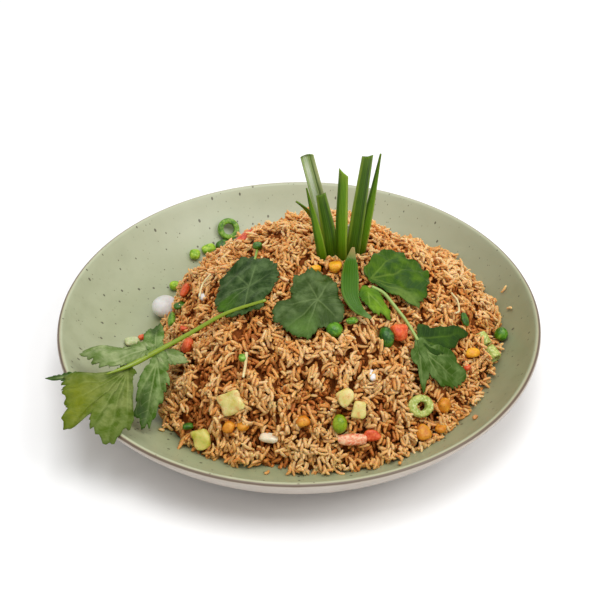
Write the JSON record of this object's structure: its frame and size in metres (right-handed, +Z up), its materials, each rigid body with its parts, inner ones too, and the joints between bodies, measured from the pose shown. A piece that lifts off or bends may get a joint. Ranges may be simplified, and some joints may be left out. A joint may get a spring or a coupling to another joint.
{
  "type": "fried rice in a bowl",
  "caption": "Heap of fried rice with vegetables in a shallow glazed bowl, with upright leek blades in its crown and sprigs of flat parsley laid over it.",
  "frame": {"origin": "on the table under the middle of the bowl", "axes": "+Z up, -Y towards the front from which the dish is seen, +X to the right of that view"},
  "size_m": [0.28, 0.28, 0.1448],
  "materials": {
    "glaze": "glossy sage glaze with fine dark specks and a brown rim",
    "rice": "cooked grains, tan to brown with sauce, slightly glossy",
    "leek": "fresh green blade with fine lengthwise ribs, satin",
    "parsley": "fresh leaf with paler veins, satin",
    "pea": "glossy cooked pea skin",
    "corn": "glossy yellow kernel",
    "carrot": "cut carrot, moist",
    "flake": "pink and cream striped flake, moist",
    "bulb": "smooth white onion bulb",
    "cabbage": "pale yellow-green cut leaf rib, moist",
    "green": "cut spring onion, moist"
  },
  "bodies": {
    "root": {"bowl": "glaze", "rice": "rice", "leek_back": "leek", "leek_front": "leek", "leek_sliver": "leek", "leek_short": "leek", "leek_tall": "leek", "leek_ribbon": "leek", "leek_pale": "leek", "leek_chip": "leek", "leek_fold": "leek", "pea_centre": "pea", "pea_shade": "pea", "pea_front": "pea", "pea_edge": "pea", "corn_crown": "corn", "corn_right": "corn", "corn_low": "corn", "corn_front_right": "corn", "corn_front": "corn", "corn_front_left": "corn", "carrot_back": "carrot", "carrot_left": "carrot", "carrot_under_stem": "carrot", "carrot_right": "carrot", "carrot_front": "carrot", "pink_flake": "flake", "bulb_white": "bulb", "cabbage_rim": "cabbage", "cabbage_left": "cabbage", "cabbage_low": "cabbage", "cabbage_front": "cabbage", "cabbage_front_right": "cabbage", "onion_back_dark": "green", "onion_back_light": "green", "onion_back_low": "green", "onion_left": "green", "onion_slab": "green", "leaf_scrap": "green", "ring_right": "green", "ring_back": "green", "tube_upper": "green", "tube_lower": "green", "leaf_left": "parsley", "leaf_middle": "parsley", "leaf_right": "parsley", "leaf_folded": "parsley", "sprig_right": "parsley", "sprig_left": "parsley"}
  },
  "joints": []
}
